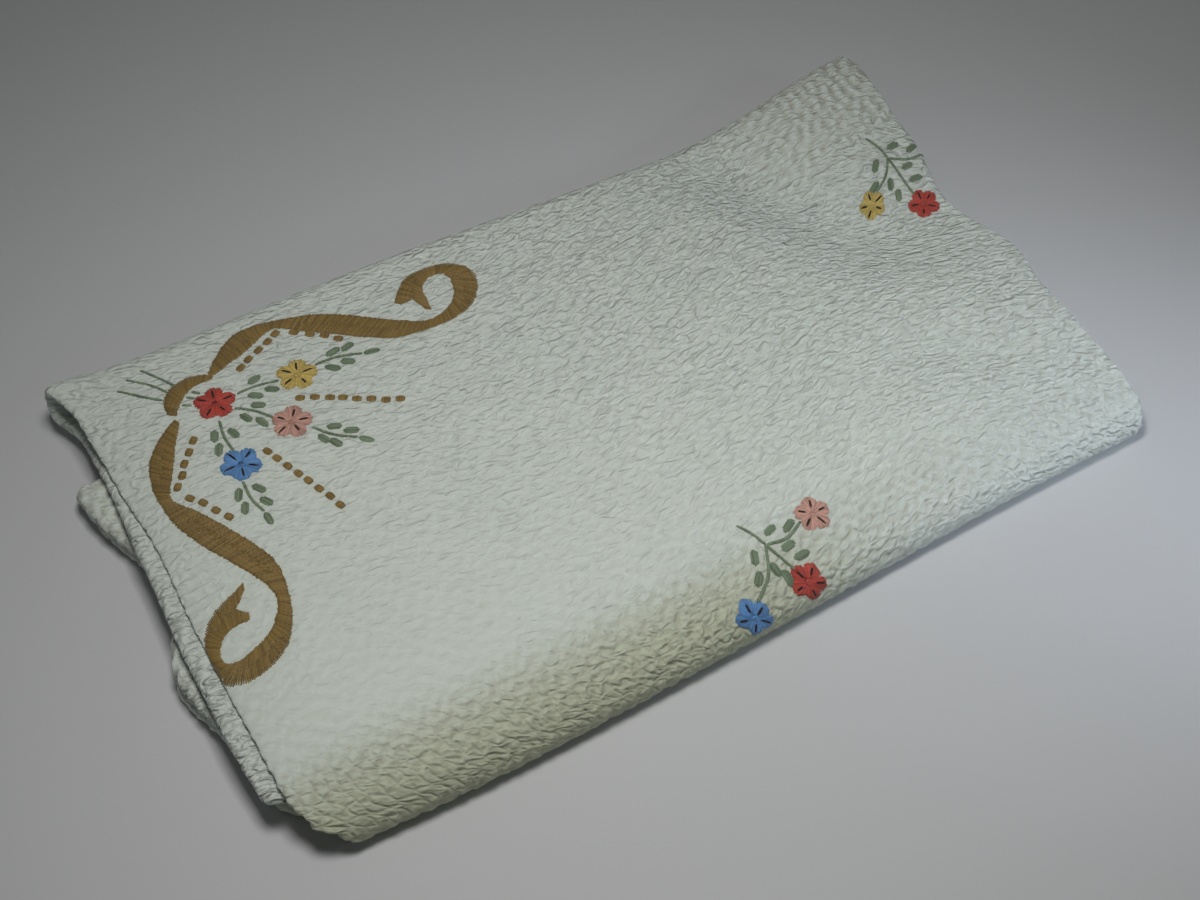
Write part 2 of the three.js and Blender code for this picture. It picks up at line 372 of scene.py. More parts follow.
SPRAY = Place(-301, 163, -51.5)
SPRAY_ARM = [
    Ribbon(-19, 27, 4),
    Ribbon(-17, 46, 14),
    Ribbon(-11, 70, 19),
    Ribbon(-2, 89, 13),
    Ribbon(7, 99, 9),
    Ribbon(26, 107, 18),
    Ribbon(52, 115, 22),
    Ribbon(82, 122, 22),
    Ribbon(108, 130, 19),
    Ribbon(131, 146, 9),
    Ribbon(143, 168, 14),
    Ribbon(143, 189, 20),
    Ribbon(131, 208, 21),
    Ribbon(115, 213, 14),
    Ribbon(103, 205, 10),
    Ribbon(96, 191, 15),
    Ribbon(97, 176, 21),
    Ribbon(107, 159, 30),
]
Arm = namedtuple("Arm", "side turn size")
SPRAY_ARMS = [Arm(1, 0, 0.985), Arm(-1, 0.8, 1.04)]
SPRAY_KNOT = [
    Ribbon(-27, -23, 6),
    Ribbon(-33, -12, 13),
    Ribbon(-34, 2, 15),
    Ribbon(-28, 15, 11),
    Ribbon(-16, 25, 4),
]
SPRAY_BLOOMS = [
    Bloom(0, 0, "red", 1.0),
    Bloom(49, 51, "yellow", 1.0),
    Bloom(49, -50, "blue", 1.0),
    Bloom(68, 4, "pink", 1.0),
]
SPRAY_STEMS = [
    Stem(12, 15, 38, 40, 2, 3, False),
    Stem(12, -15, 38, -40, -2, 3, False),
    Stem(17, 1, 52, 3, 2, 3, False),
    Stem(58, 66, 90, 92, 3, 4, True),
    Stem(58, -65, 88, -86, -3, 4, True),
    Stem(86, 5, 126, 9, -3, 4, True),
    Stem(-16, -9, -24, -11, 0, 0, False),
    Stem(-17, -1, -25, -2, 0, 0, False),
    Stem(-16, 5, -24, 5, 0, 0, False),
    Stem(-41, -12, -78, -15, 1, 0, False),
    Stem(-41, -3, -76, 0, -1, 0, False),
    Stem(-38, 5, -70, 15, 1, 0, False),
]
SPRAY_DASHES = [
    DashRow(2, 41, 11, 87, 5),
    DashRow(25, 93, 63, 100, 4),
    DashRow(63, 30, 142, 58, 8),
]

Sprig = namedtuple("Sprig", "u v axis reach blooms")
FRONT_BLOOMS = [Bloom(25, -57, "blue", 0.9), Bloom(41, -2, "red", 0.9), Bloom(13, 49, "pink", 0.9)]
END_BLOOMS = [Bloom(27, -38, "yellow", 0.8), Bloom(60, 3, "red", 0.9), Bloom(24, 50, "blue", 0.9)]
SPRIGS = [
    Sprig(23, -185, -69, 0.85, FRONT_BLOOMS),
    Sprig(364, 122, -79, 1.15, END_BLOOMS),
]
SPRIG_TAIL = Stem(-29, -2, 0, 0, 1.5, 0, False)
SPRIG_BOW = -0.1
SPRIG_LEAVES = [
    Leaf(-6, 13, 86),
    Leaf(5, 27, 95),
    Leaf(16, 12, 77),
    Leaf(30, 13, 70),
    Leaf(-1, -15, -48),
    Leaf(13, -28, -70),
    Leaf(20, -12, -24),
    Leaf(32, -11, -27),
]

# Stitches of the ribbons, and how far the sewing hand strays
STRAND = 1.65
PITCH = 1.35
LONG_STITCH = 11.0
SLANT = 0.42
LANE_STRAY = 3
END_STRAY = (0.5, 1.6)
RIBBON_RISE = 0.3
RIBBON_TAIL = 9.0
TAIL_NOTCH = 0.66

# Blooms: their petals, the dark stitch on each petal, and the boss in the middle
PETALS = 5
BLOOM_RADIUS = 18.0
NOTCH = 0.64
PETAL_FILL = 0.9
PETAL_STRAY = (-0.9, 0.7)
PETAL_ROOTS = (1.2, 4.0)
ROOT_STRAY = 1.2
PETAL_RISE = 0.35
PETAL_RISE_STRAY = 0.2
LEAN_STRAY = 0.12
VEIN_START = (0.2, 0.32)
VEIN_END = (0.78, 0.92)
VEIN_WIDTH = 2.0
VEIN_RISE = 1.1
Boss = namedtuple("Boss", "stitches radius half width rise")
BOSS = Boss(7, 1.3, 2.6, 2.0, 0.8)

# Leaves, stems and dashes
LEAF = (16.0, 7.4)
LEAF_LENGTHS = (0.88, 1.05)
LEAF_STRAY = (-0.3, 0.6)
LEAF_POINT = 0.22
LEAST_STITCHES = 3
INSET = 0.86
ROUND_RISE = 0.3
STEM_STEP = 3.6
STEM_SLANT = 0.5
STEM_WIDTH = 2.3
STEM_RISE = 0.3
STEM_UNDER_BLOOM = 0.8
LEAF_SHARES = (0.12, 0.7)
LEAF_STAGGER = 0.4
LEAF_GAP = 5.2
GAP_STRAY = (-0.4, 0.8)
LEAF_LEAN = 0.42
TIP_WIDTH = 0.85
DASH = (9.0, 7.2)
DASH_STRAY = 0.8
DASH_ROUND = 0.55

# Threads and their colours
THREADS = {
    "tan": "#8f7642",
    "green": "#7d8f73",
    "red": "#bd4c40",
    "pink": "#cfa090",
    "yellow": "#cfb666",
    "blue": "#6495cb",
    "dark": "#2b1d17",
}
Stitch = namedtuple("Stitch", "u v end_u end_v width rise")
stitches = {name: [] for name in THREADS}
hand = np.random.default_rng(5)


def spot(place, along, across):
    """A place of a motif's chart on the flat cloth."""
    c, s = math.cos(math.radians(place.axis)), math.sin(math.radians(place.axis))
    return np.array([place.u + along * c - across * s, place.v + along * s + across * c])


def ray_at(angle):
    return np.array([math.cos(angle), math.sin(angle)])


def left_of(run):
    """A run on the flat cloth, turned a quarter to its left."""
    return np.array([-run[1], run[0]])


def sew(thread, start, end, width=STRAND, rise=0.0):
    stitches[thread].append(Stitch(*start, *end, width, rise))


def smooth_rows(rows, step):
    """Even places along a curve through the rows, of any number of columns."""
    rows = np.array(rows, float)
    ahead = np.concatenate([[2 * rows[0] - rows[1]], rows, [2 * rows[-1] - rows[-2]]])
    share = np.linspace(0, 1, CURVE_POINTS, endpoint=False)[:, None]
    curve = []
    for a, b, c, d in zip(ahead, ahead[1:], ahead[2:], ahead[3:]):
        bend = 2 * a - 5 * b + 4 * c - d
        curve.append(b + 0.5 * share * (c - a + share * (bend + share * (3 * (b - c) + d - a))))
    curve = np.concatenate([*curve, rows[-1:]])
    along = np.concatenate([[0], np.cumsum(np.linalg.norm(np.diff(curve[:, :2], axis=0), axis=1))])
    even = np.linspace(0, along[-1], max(2, round(along[-1] / step) + 1))
    return np.stack([np.interp(even, along, column) for column in curve.T], 1)


def sew_ribbon(rows, tail=0.0):
    """Slanted long and short stitches across a ribbon of (u, v, width), with a notch in its tail end."""
    line = smooth_rows(rows, PITCH)
    heading = np.gradient(line[:, :2], axis=0)
    heading /= np.linalg.norm(heading, axis=1)[:, None]
    left = np.stack([-heading[:, 1], heading[:, 0]], 1)
    for k, width in enumerate(line[:, 2]):
        middle, across = line[k, :2], left[k] + heading[k] * SLANT
        half = width / 2
        to_end = (len(line) - 1 - k) * PITCH
        gap = half * TAIL_NOTCH * (1 - to_end / tail) if to_end < tail else 0.0
        lanes = max(1, round(width / LONG_STITCH))
        joints = np.linspace(-half, half, lanes + 1)
        joints[1:-1] += hand.uniform(-LANE_STRAY, LANE_STRAY, lanes - 1)
        spans = [(-half, -gap), (gap, half)] if gap else zip(joints[:-1], joints[1:])
        for start, end in spans:
            start = start - hand.uniform(*END_STRAY)
            end = end + hand.uniform(*END_STRAY)
            sew("tan", middle + across * start, middle + across * end, rise=hand.uniform(0, RIBBON_RISE))


def sew_bloom(place, bloom):
    """Five round petals of stitches fanned from the middle, a dark stitch on each, and a small boss."""
    centre, thread = spot(place, bloom.along, bloom.across), bloom.thread
    radius = BLOOM_RADIUS * bloom.size
    turn = hand.uniform(0, math.pi)
    per_petal = round(2 * math.pi * radius * PETAL_FILL / PETALS / PITCH)
    for petal in range(PETALS):
        middle = turn + 2 * math.pi * petal / PETALS
        for k in range(per_petal):
            swing = (2 * (k + 0.5) / per_petal - 1) * math.pi / PETALS
            lobe = NOTCH + (1 - NOTCH) * math.sqrt(math.cos(swing * PETALS / 2))
            ray = ray_at(middle + swing)
            reach = radius * lobe + hand.uniform(*PETAL_STRAY)
            root = PETAL_ROOTS[k % 2] + hand.uniform(0, ROOT_STRAY)
            rise = PETAL_RISE * lobe + hand.uniform(0, PETAL_RISE_STRAY)
            sew(thread, centre + ray * root, centre + ray * reach, rise=rise)
        ray = ray_at(middle + hand.uniform(-LEAN_STRAY, LEAN_STRAY))
        start, end = radius * hand.uniform(*VEIN_START), radius * hand.uniform(*VEIN_END)
        sew("dark", centre + ray * start, centre + ray * end, VEIN_WIDTH, VEIN_RISE)
    for k in range(BOSS.stitches):
        ray = ray_at(2 * math.pi * k / BOSS.stitches)
        middle, half = centre + ray * BOSS.radius, left_of(ray) * BOSS.half
        sew(thread, middle - half, middle + half, BOSS.width, BOSS.rise)


def sew_leaf(base, heading, length, width):
    """Stitches side by side along a leaf, the outer ones shorter."""
    ray = ray_at(heading)
    side = left_of(ray)
    count = max(LEAST_STITCHES, round(width / PITCH))
    for k in range(count):
        offset = (k + 0.5) / count * 2 - 1
        short = length * LEAF_POINT * offset**2
        beside = side * offset * width / 2 * INSET
        start = base + ray * (short + hand.uniform(*LEAF_STRAY)) + beside
        end = base + ray * (length - short + hand.uniform(-LEAF_STRAY[1], -LEAF_STRAY[0])) + beside
        sew("green", start, end, rise=ROUND_RISE * (1 - offset**2))


def sew_stem(place, stem):
    """Overlapping stem stitches along a bowed line, with leaves on both sides and perhaps at its tip."""
    start, end = spot(place, stem.along, stem.across), spot(place, stem.end_along, stem.end_across)
    middle = spot(place, (stem.along + stem.end_along) / 2, (stem.across + stem.end_across) / 2)
    run = end - start
    side = left_of(run) / np.linalg.norm(run)
    line = smooth_rows([start, middle + side * stem.bow, end], STEM_STEP)
    for k in range(len(line) - 1):
        last = line[min(k + 2, len(line) - 1)]
        sew("green", line[k] - side * STEM_SLANT, last + side * STEM_SLANT, STEM_WIDTH, STEM_RISE)
    heading = math.atan2(run[1], run[0])
    for k in range(stem.leaves):
        flank = 1 if k % 2 else -1
        share = LEAF_SHARES[0] + LEAF_SHARES[1] * (k + LEAF_STAGGER * (k % 2 == 0)) / stem.leaves
        root = line[int(share * (len(line) - 1))] + side * flank * (LEAF_GAP + hand.uniform(*GAP_STRAY))
        lean = flank * (LEAF_LEAN + hand.uniform(-LEAN_STRAY, LEAN_STRAY))
        sew_leaf(root, heading + lean, LEAF[0] * hand.uniform(*LEAF_LENGTHS), LEAF[1])
    if stem.tip:
        sew_leaf(line[-1], heading, LEAF[0], LEAF[1] * TIP_WIDTH)


def sew_dashes(place, row, side):
    """A row of small satin-stitched beads."""
    start = spot(place, row.along, side * row.across)
    end = spot(place, row.end_along, side * row.end_across)
    run = (end - start) / np.linalg.norm(end - start)
    across = left_of(run)
    count = round(DASH[0] / PITCH)
    for share in np.linspace(0, 1, row.count):
        bead = start + (end - start) * share + hand.uniform(-DASH_STRAY, DASH_STRAY, 2)
        for k in range(count):
            offset = (k + 0.5) / count * 2 - 1
            half = DASH[1] / 2 * math.sqrt(1 - DASH_ROUND * offset**2)
            middle = bead + run * offset * DASH[0] / 2 * INSET
            sew("tan", middle - across * half, middle + across * half, rise=ROUND_RISE * (1 - offset**2))


def chart_embroidery():
    """All stitches of the corner spray and the two sprigs."""
    for side, turn, size in SPRAY_ARMS:
        place = Place(SPRAY.u, SPRAY.v, SPRAY.axis + turn)
        rows = [(*spot(place, r.along * size, side * r.across * size), r.width) for r in SPRAY_ARM]
        sew_ribbon(rows, tail=RIBBON_TAIL)
        for row in SPRAY_DASHES:
            sew_dashes(SPRAY, row, side)
    sew_ribbon([(*spot(SPRAY, r.along, r.across), r.width) for r in SPRAY_KNOT])
    for stem in SPRAY_STEMS:
        sew_stem(SPRAY, stem)
    for bloom in SPRAY_BLOOMS:
        sew_bloom(SPRAY, bloom)
    for sprig in SPRIGS:
        place = Place(sprig.u, sprig.v, sprig.axis)
        sew_stem(place, SPRIG_TAIL)
        for along, across, thread, size in sprig.blooms:
            share = 1 - STEM_UNDER_BLOOM * BLOOM_RADIUS * size / math.hypot(along, across)
            sew_stem(place, Stem(0, 0, along * share, across * share, across * SPRIG_BOW, 0, False))
            sew_bloom(place, Bloom(along, across, thread, size))
        for leaf in SPRIG_LEAVES:
            heading = math.radians(sprig.axis + leaf.turn)
            middle = spot(place, leaf.along * sprig.reach, leaf.across)
            length = LEAF[0] * hand.uniform(*LEAF_LENGTHS)
            root = middle - ray_at(heading) * length / 2
            sew_leaf(root, heading, length, LEAF[1])


chart_embroidery()

# How the stitches hold the cloth flat: a grid of the flat cloth, softened, and the puckers left under them
CALM_CELL = 2.0
CALM_MARGIN = 20
CALM_POINTS = 6
CALM_ROUNDS = 3
CALM_GAIN = 1.6
HELD_LEVEL = 0.4
HELD_SHARE = 0.2


def calm_map():
    """How much the stitches hold the cloth flat, on a grid of the flat cloth: its corner and its values."""
    rows = np.array([s for group in stitches.values() for s in group])[:, :4]
    share = np.linspace(0, 1, CALM_POINTS)[:, None, None]
    points = (rows[:, :2] * (1 - share) + rows[:, 2:] * share).reshape(-1, 2)
    low = points.min(0) - CALM_MARGIN
    cells = np.ceil((points.max(0) + CALM_MARGIN - low) / CALM_CELL).astype(int)
    grid = np.zeros(cells)
    where = ((points - low) / CALM_CELL).astype(int)
    grid[where[:, 0], where[:, 1]] = 1.0
    for _ in range(CALM_ROUNDS):
        for axis in (0, 1):
            grid = (np.roll(grid, 1, axis) + grid + np.roll(grid, -1, axis)) / 3
    return low, np.clip(grid * CALM_GAIN, 0, 1)


CALM_LOW, CALM = calm_map()


def calm(u, v):
    i = np.clip(((u - CALM_LOW[0]) / CALM_CELL).astype(int), 0, CALM.shape[0] - 1)
    j = np.clip(((v - CALM_LOW[1]) / CALM_CELL).astype(int), 0, CALM.shape[1] - 1)
    return CALM[i, j]


def cloth_mesh():
    """The closed sheet: fine outside where it shows, coarse where it is hidden and inside."""
    coarse_u, fine_u, marks_u = lines(U_ZONES, STRIP_U, STRIP_HEADING)
    coarse_v, fine_v, marks_v = lines(V_ZONES, (REAR_V - TRAVEL)[::-1], COURSE_HEADING[::-1])
    wide, deep = len(coarse_u) - 1, len(coarse_v) - 1
    mid_u = ((coarse_u[1:] + coarse_u[:-1]) / 2)[:, None]
    mid_v = ((coarse_v[1:] + coarse_v[:-1]) / 2)[None, :]
    at_ends = (np.abs(mid_u) > BAND_IN) & (np.abs(mid_u) < BAND_OUT)
    in_top = (mid_v > TOP_ZONE[0]) & (mid_v < TOP_ZONE[1])
    in_nose = (mid_v > REAR_NOSE_ZONE[0]) & (mid_v < REAR_NOSE_ZONE[1])
    dense = np.zeros((wide + 2, deep + 2), bool)
    dense[1:-1, 1:-1] = at_ends | ((np.abs(mid_u) < BAND_OUT) & (in_top | in_nose))
    columns = len(fine_u)

    def along_u(i, mark, is_fine):
        reach = range(marks_u[i], marks_u[i + 1] + 1) if is_fine else (marks_u[i], marks_u[i + 1])
        return [mark * columns + k for k in reach]

    def along_v(j, mark, is_fine):
        reach = range(marks_v[j], marks_v[j + 1] + 1) if is_fine else (marks_v[j], marks_v[j + 1])
        return [k * columns + mark for k in reach]

    faces, edges = [], {"front": [], "rear": [], "left": [], "right": []}
    for i in range(wide):
        for j in range(deep):
            here = dense[i + 1, j + 1]
            front = along_u(i, marks_v[j], here or dense[i + 1, j])
            rear = along_u(i, marks_v[j + 1], here or dense[i + 1, j + 2])
            left = along_v(j, marks_u[i], here or dense[i, j + 1])
            right = along_v(j, marks_u[i + 1], here or dense[i + 2, j + 1])
            if here:
                for k in range(marks_v[j], marks_v[j + 1]):
                    for n in range(marks_u[i], marks_u[i + 1]):
                        corner = k * columns + n
                        faces.append([corner, corner + 1, corner + columns + 1, corner + columns])
            else:
                faces.append(front[:-1] + right[:-1] + rear[:0:-1] + left[:0:-1])
            if j == 0:
                edges["front"].append((front, i, i + 1))
            if j == deep - 1:
                edges["rear"].append((rear[::-1], i + 1, i))
            if i == 0:
                edges["left"].append((left[::-1], j + 1, j))
            if i == wide - 1:
                edges["right"].append((right, j, j + 1))

    used = sorted({k for face in faces for k in face})
    number = {k: n for n, k in enumerate(used)}
    faces = [[number[k] for k in face] for face in faces]
    outer_u, outer_v = fine_u[np.array(used) % columns], fine_v[np.array(used) // columns]
    first = len(used)

    def inner(i, j):
        return first + j * (wide + 1) + i

    for i in range(wide):
        for j in range(deep):
            faces.append([inner(i, j), inner(i, j + 1), inner(i + 1, j + 1), inner(i + 1, j)])
    hems = {
        "front": lambda k: inner(k, 0),
        "rear": lambda k: inner(k, deep),
        "left": lambda k: inner(0, k),
        "right": lambda k: inner(wide, k),
    }
    for name, hem in hems.items():
        for outer, start, end in edges[name]:
            faces.append([number[k] for k in outer[::-1]] + [hem(start), hem(end)])

    held = calm(outer_u, outer_v)
    height = pucker_height(outer_u, outer_v)
    height = height + (HELD_LEVEL + HELD_SHARE * height - height) * held
    lift = CLOTH / 2 + pucker_share(outer_u, outer_v) * (RISE - PUCKER * (1 - height))
    inner_u, inner_v = np.tile(coarse_u, deep + 1), np.repeat(coarse_v, wide + 1)
    places = np.concatenate([fold(outer_u, outer_v, lift), fold(inner_u, inner_v, -CLOTH / 2)])
    flat = np.concatenate([np.stack([outer_u, outer_v], 1), np.stack([inner_u, inner_v], 1)])
    # How deep each place lies in a pucker's crease; the cotton's material paints shade there by it
    hollow = np.concatenate([(1 - height) * pucker_share(outer_u, outer_v), np.zeros(len(inner_u))])
    return places, faces, flat, hollow


def pile_shift():
    """From the tables' frame to the part's: the smooth pile's box is centred, and stands on the floor."""
    u, v = np.meshgrid(np.linspace(*U_ENDS, BOX_POINTS), np.linspace(*V_ENDS, BOX_POINTS))
    smooth = fold(u, v, CLOTH / 2).reshape(-1, 3)
    low, high = smooth.min(0), smooth.max(0)
    return np.array([(low[0] + high[0]) / 2, (low[1] + high[1]) / 2, low[2]])


SHIFT = pile_shift()


def in_part(places):
    return (places - SHIFT) / 1000


def new_piece(name, places, faces):
    """A smooth mesh object that rides with the part."""
    mesh = bpy.data.meshes.new(name)
    mesh.from_pydata(in_part(places).tolist(), [], faces)
    mesh.shade_smooth()
    piece = bpy.data.objects.new(name, mesh)
    bpy.context.scene.collection.objects.link(piece)
    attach(piece, "root")
    return piece


def set_map(mesh, name, flat):
    """A UV map with one place for each vertex."""
    corners = np.zeros(len(mesh.loops), int)
    mesh.loops.foreach_get("vertex_index", corners)
    mesh.uv_layers.new(name=name).data.foreach_set("uv", flat[corners].astype(np.float32).ravel())


def set_values(mesh, name, values):
    mesh.attributes.new(name, "FLOAT", "POINT").data.foreach_set("value", np.asarray(values, np.float32))


# Rings along a strand, from one end to the other: their places, sizes and lifts, the strands' own tones, and
# painted shade on their undersides
RINGS = np.array([0.0, 0.07, 0.3, 0.7, 0.93, 1.0])
RING_SIZE = np.array([0.25, 0.8, 1.0, 1.0, 0.8, 0.25])
RING_LIFT = np.array([-0.3, 0.25, 0.55, 0.55, 0.25, -0.3])
SIDES = 6
GROUND = CLOTH / 2 + RISE - 0.5 * PUCKER
THREAD_HEIGHT = 1.3
BASE_RISE = 0.5
ARCH = 1.6
STRAND_SHADES = (0.35, 1)
UNDERSIDE_PAINTED_SHADE = (0.55, 0.45)


def thread_mesh(rows):
    """Strands from stitch to stitch, each a closed thread that dips into the cloth at both ends."""
    rows = np.array(rows)
    start, end, width, rise = rows[:, :2], rows[:, 2:4], rows[:, 4], rows[:, 5]
    run = end - start
    length = np.linalg.norm(run, axis=1)
    side = np.stack([-run[:, 1], run[:, 0]], 1) / length[:, None]
    angle = 2 * math.pi * np.arange(SIDES) / SIDES
    reach = width[:, None, None] / 2 * RING_SIZE[None, :, None] * np.cos(angle)
    along = run[:, None, None] * RINGS[None, :, None, None]
    flat = start[:, None, None] + along + side[:, None, None] * reach[..., None]
    lift = GROUND + (rise[:, None] + BASE_RISE) * RING_LIFT[None] * ARCH
    lift = lift[:, :, None] + THREAD_HEIGHT / 2 * RING_SIZE[None, :, None] * np.sin(angle)
    places = fold(flat[..., 0], flat[..., 1], lift).reshape(-1, 3)
    count, rings = len(rows), len(RINGS)
    ring = np.arange(SIDES)
    quads = []
    for k in range(rings - 1):
        a, b = k * SIDES + ring, k * SIDES + (ring + 1) % SIDES
        quads.append(np.stack([a, a + SIDES, b + SIDES, b], 1))
    caps = np.stack([ring, (rings - 1) * SIDES + ring[::-1]])
    offset = (np.arange(count) * rings * SIDES)[:, None, None]
    walls = (offset + np.concatenate(quads)).reshape(-1, 4).tolist()
    ends = (offset + caps).reshape(-1, SIDES).tolist()
    travel = np.broadcast_to(length[:, None, None] * RINGS[None, :, None], lift.shape)
    around = np.broadcast_to(angle / (2 * math.pi), lift.shape)
    twist = np.stack([travel.ravel() / 1000, around.ravel()], 1)
    own = np.random.default_rng(count).uniform(*STRAND_SHADES, count)[:, None, None]
    # Each strand's own random tone, times painted shade that darkens its underside
    tone_and_painted_shade = np.broadcast_to(own * (UNDERSIDE_PAINTED_SHADE[0] + UNDERSIDE_PAINTED_SHADE[1] * np.sin(angle)), lift.shape)
    return places, walls + ends, twist, tone_and_painted_shade.ravel()


def linear(colour):
    """A '#rrggbb' colour as a shader takes it."""
    parts = [int(colour[k : k + 2], 16) / 255 for k in (1, 3, 5)]
    return [*(p / 12.92 if p <= 0.04045 else ((p + 0.055) / 1.055) ** 2.4 for p in parts), 1.0]


class Nodes:
    """Short names for adding nodes to a new material."""

    def __init__(self, name):
        self.material = bpy.data.materials.new(name)
        self.material.use_nodes = True
        self.tree = self.material.node_tree
        self.shader = self.tree.nodes["Principled BSDF"]

    def add(self, kind, inputs=(), **settings):
        node = self.tree.nodes.new("ShaderNode" + kind)
        for key, value in settings.items():
            setattr(node, key, value)
        for key, value in dict(inputs).items():
            if isinstance(value, bpy.types.NodeSocket):
                self.tree.links.new(value, node.inputs[key])
            else:
                node.inputs[key].default_value = value
        return node

    def math(self, operation, a, b=0.0):
        return self.add("Math", {0: a, 1: b}, operation=operation).outputs[0]

    def mix(self, share, first, second):
        """A colour between the first and the second."""
        return self.add("Mix", {0: share, 6: first, 7: second}, data_type="RGBA").outputs[2]

    def between(self, value, start, end):
        """0 where a flat coordinate is at start, easing to 1 at end, both in millimetres."""
        ends = {"Value": value, 1: start / 1000, 2: end / 1000, 3: 0.0, 4: 1.0}
        return self.add("MapRange", ends, interpolation_type="SMOOTHSTEP").outputs[0]

    def set(self, **values):
        for key, value in values.items():
            socket = self.shader.inputs[key.replace("_", " ")]
            if isinstance(value, bpy.types.NodeSocket):
                self.tree.links.new(value, socket)
            else:
                socket.default_value = value


# Where the cotton's crinkles gather on the flat cloth, and how high they stand
STRETCH = (0.5, 1, 1)
FRONT_CRINKLES = (-155, -205)
FRONT_LAST = (-340, -280)
BUNCHED_U = (160, -40)
ROUGH_U = (20, 300)
# Where the front turns cream along v: partly yellowed cotton, partly painted shade where the cloth turns
# down to the front
AGED_AND_SHADED_V = (-140, -245)
CRINKLE_RISE = 1.02
RISE_ALONG_U = 1.2
RISE_ALONG_V = 2.1
BUNCHED_RISE = 0.3
CORNER_DROP = 0.95
ROUGH_TOP = 0.55
ROUGH_CORNER = 0.55
COBBLE_TOP = 0.25
COBBLE_RISE = 1.2
# Painted shade in the puckers' creases: how it gathers towards the deepest places and how dark it gets
CREASE_SHADE_POWER = 1.5
CREASE_SHADE_SHARE = 0.6


def stretched_noise(n, flat, turn, scale, distortion):
    """Soft spots, drawn out along a line turned from u by some degrees."""
    turned = {"Vector": flat, "Rotation": (0, 0, math.radians(turn)), "Scale": STRETCH}
    grid = n.add("Mapping", turned).outputs[0]
    spots = {"Vector": grid, "Scale": scale, "Detail": 0.0, "Distortion": distortion}
    return n.add("TexNoise", spots, noise_dimensions="2D").outputs["Fac"]


def crease(n, spots):
    """0 along the middle level of soft spots, as a sharp crease, rising to both sides."""
    return n.math("ABSOLUTE", n.math("SUBTRACT", spots, 0.5))


def pique_material():
    """Off-white cotton: puckered ground with fine crinkles and a close weave, painted shade in its creases,
    and a cream front that is partly yellowed and partly painted shade.
    """
    n = Nodes("pique_cotton")
    flat = n.add("UVMap", uv_map="cloth").outputs["UV"]
    sides = n.add("SeparateXYZ", {0: flat})
    u, v = sides.outputs["X"], sides.outputs["Y"]
    lie = n.add("UVMap", uv_map="crinkles").outputs["UV"]
    welts = stretched_noise(n, lie, turn=-6, scale=185.0, distortion=1.0)
    first = crease(n, stretched_noise(n, lie, turn=-12, scale=120.0, distortion=0.3))
    second = crease(n, stretched_noise(n, lie, turn=10, scale=130.0, distortion=0.3))
    ridges = n.math("ADD", welts, n.math("MINIMUM", first, second))
    front = n.math("MULTIPLY", n.between(v, *FRONT_CRINKLES), n.between(v, *FRONT_LAST))
    corner = n.math("MULTIPLY", n.between(u, *CORNER_START_U), n.between(v, *CORNER_START_V))
    bunched = n.math("MULTIPLY", front, n.between(u, *BUNCHED_U))
    uneven = n.math("ADD", n.math("MULTIPLY", u, RISE_ALONG_U), n.math("MULTIPLY", v, RISE_ALONG_V))
    uneven = n.math("ADD", uneven, n.math("MULTIPLY", bunched, BUNCHED_RISE))
    uneven = n.math("SUBTRACT", uneven, n.math("MULTIPLY", corner, CORNER_DROP))
    crinkles = n.math("MULTIPLY", ridges, n.math("ADD", uneven, CRINKLE_RISE))
    spread = n.math("ADD", n.math("MULTIPLY", front, 1 - ROUGH_TOP), ROUGH_TOP)
    rough = n.math("MAXIMUM", bunched, n.math("MULTIPLY", n.between(u, *ROUGH_U), spread))
    rough = n.math("SUBTRACT", rough, n.math("MULTIPLY", corner, ROUGH_CORNER))
    stones = {"Vector": lie, "Scale": 105.0}
    cells = n.add("TexVoronoi", stones, feature="DISTANCE_TO_EDGE", voronoi_dimensions="2D")
    domes = n.math("MINIMUM", cells.outputs["Distance"], COBBLE_TOP)
    cobbles = n.math("MULTIPLY", domes, n.math("MULTIPLY", rough, COBBLE_RISE))
    yarns = {"Vector": flat, "Scale": 300.0, "Distortion": 1.2, "Detail": 1.0}
    warp = n.add("TexWave", yarns, bands_direction="X").outputs["Fac"]
    weft = n.add("TexWave", yarns, bands_direction="Y").outputs["Fac"]
    weave = n.math("MULTIPLY", warp, weft)
    fine = n.add("Bump", {"Height": weave, "Strength": 0.25, "Distance": 0.0003}).outputs[0]
    height = n.math("ADD", crinkles, cobbles)
    relief = n.add("Bump", {"Height": height, "Strength": 1.0, "Distance": 0.0029, "Normal": fine})
    clouds = {"Vector": flat, "Scale": 9.0, "Detail": 2.0}
    patches = n.add("TexNoise", clouds, noise_dimensions="2D").outputs["Fac"]
    white = n.mix(patches, linear("#e0e7dd"), linear("#d9e2da"))
    # The cream front: partly the cotton's own yellowing, partly painted shade over the cloth's downturn to
    # the front
    aged_and_shaded = n.math("MULTIPLY", bunched, n.between(v, *AGED_AND_SHADED_V))
    cream = n.mix(aged_and_shaded, white, linear("#c6cbae"))
    # Painted shade: the cotton darkens towards a grey cream in the puckers' creases, the deeper the darker
    hollow = n.add("Attribute", attribute_name="hollow").outputs["Fac"]
    crease_shade = n.math("MULTIPLY", n.math("POWER", hollow, CREASE_SHADE_POWER), CREASE_SHADE_SHARE)
    n.set(
        Base_Color=n.mix(crease_shade, cream, linear("#a9a893")),
        Normal=relief.outputs[0],
        Roughness=0.85,
        Sheen_Weight=0.15,
        Sheen_Roughness=0.5,
        Specular_IOR_Level=0.2,
    )
    return n.material


# A strand's plies and their turns in a metre, and its deep and light tones, between which its own tone and
# its painted underside shade choose
PLIES = 4.0
PLY_TURNS = 260.0
STRAND_TONES = (0.45, 1.25)


